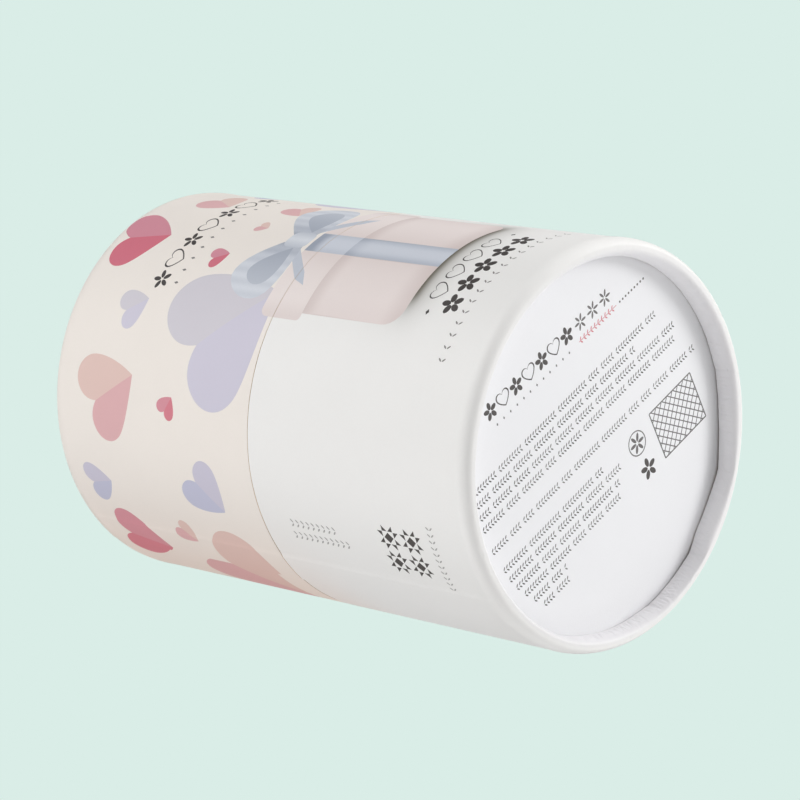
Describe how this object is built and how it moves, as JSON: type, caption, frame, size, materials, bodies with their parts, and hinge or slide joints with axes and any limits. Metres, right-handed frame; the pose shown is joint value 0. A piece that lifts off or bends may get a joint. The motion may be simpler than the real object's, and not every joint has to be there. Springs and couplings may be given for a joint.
{
  "type": "cylindrical gift tube box",
  "caption": "Round paperboard gift tube with curled ends; its lid lifts straight up off an inner neck in the base.",
  "frame": {"origin": "centre of the foot, on the plane that the box stands on", "axes": "+Z along the tube's axis from the foot to the lid; -Y towards the front, the side with the printed picture"},
  "size_m": [0.095, 0.095, 0.14],
  "materials": {
    "board": "raw wound greyboard, matt, brown-grey at its cut edges",
    "base_paper": "white art paper with a soft matt lamination",
    "lid_paper": "cream printed art paper with a soft matt lamination",
    "facing_paper": "smooth white paper, matt",
    "lining_paper": "plain uncoated off-white paper"
  },
  "bodies": {
    "base": {"base_tube": "board", "base_wrap": "base_paper", "base_lining": "lining_paper", "base_disc": "board", "base_disc_facing": "facing_paper", "neck_tube": "board", "neck_wrap": "lining_paper", "neck_lining": "lining_paper", "floor_liner": "lining_paper"},
    "lid": {"lid_tube": "board", "lid_wrap": "lid_paper", "lid_lining": "lining_paper", "lid_disc": "board", "lid_disc_facing": "lid_paper", "lid_ring": "board", "ceiling_liner": "lining_paper"}
  },
  "joints": [
    {"name": "lid_lift", "type": "slide", "parent": "base", "child": "lid", "axis": [0, 0, 1], "range_m": [0, 0.1]}
  ]
}
